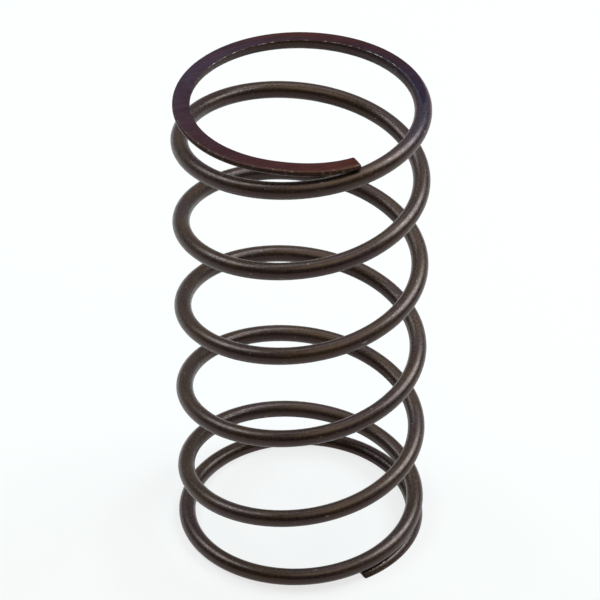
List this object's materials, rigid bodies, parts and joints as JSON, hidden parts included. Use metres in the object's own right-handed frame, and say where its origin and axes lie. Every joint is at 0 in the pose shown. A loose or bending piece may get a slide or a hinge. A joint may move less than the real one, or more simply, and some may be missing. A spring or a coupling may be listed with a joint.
{
  "type": "compression spring",
  "caption": "Cylindrical coil spring of round steel wire with closed, ground flat ends, for pushing two parts apart.",
  "frame": {"origin": "centre of the lower ground seat", "axes": "+Z along the coil axis, from the lower seat to the upper one; the wire starts in the quarter between +X and -Y and climbs turning from +X to +Y"},
  "size_m": [0.0296, 0.0296, 0.06],
  "materials": {
    "spring_steel": "satin dark oxide, with temper colours on the ground ends"
  },
  "bodies": {
    "root": {"coil_spring": "spring_steel"}
  },
  "joints": []
}
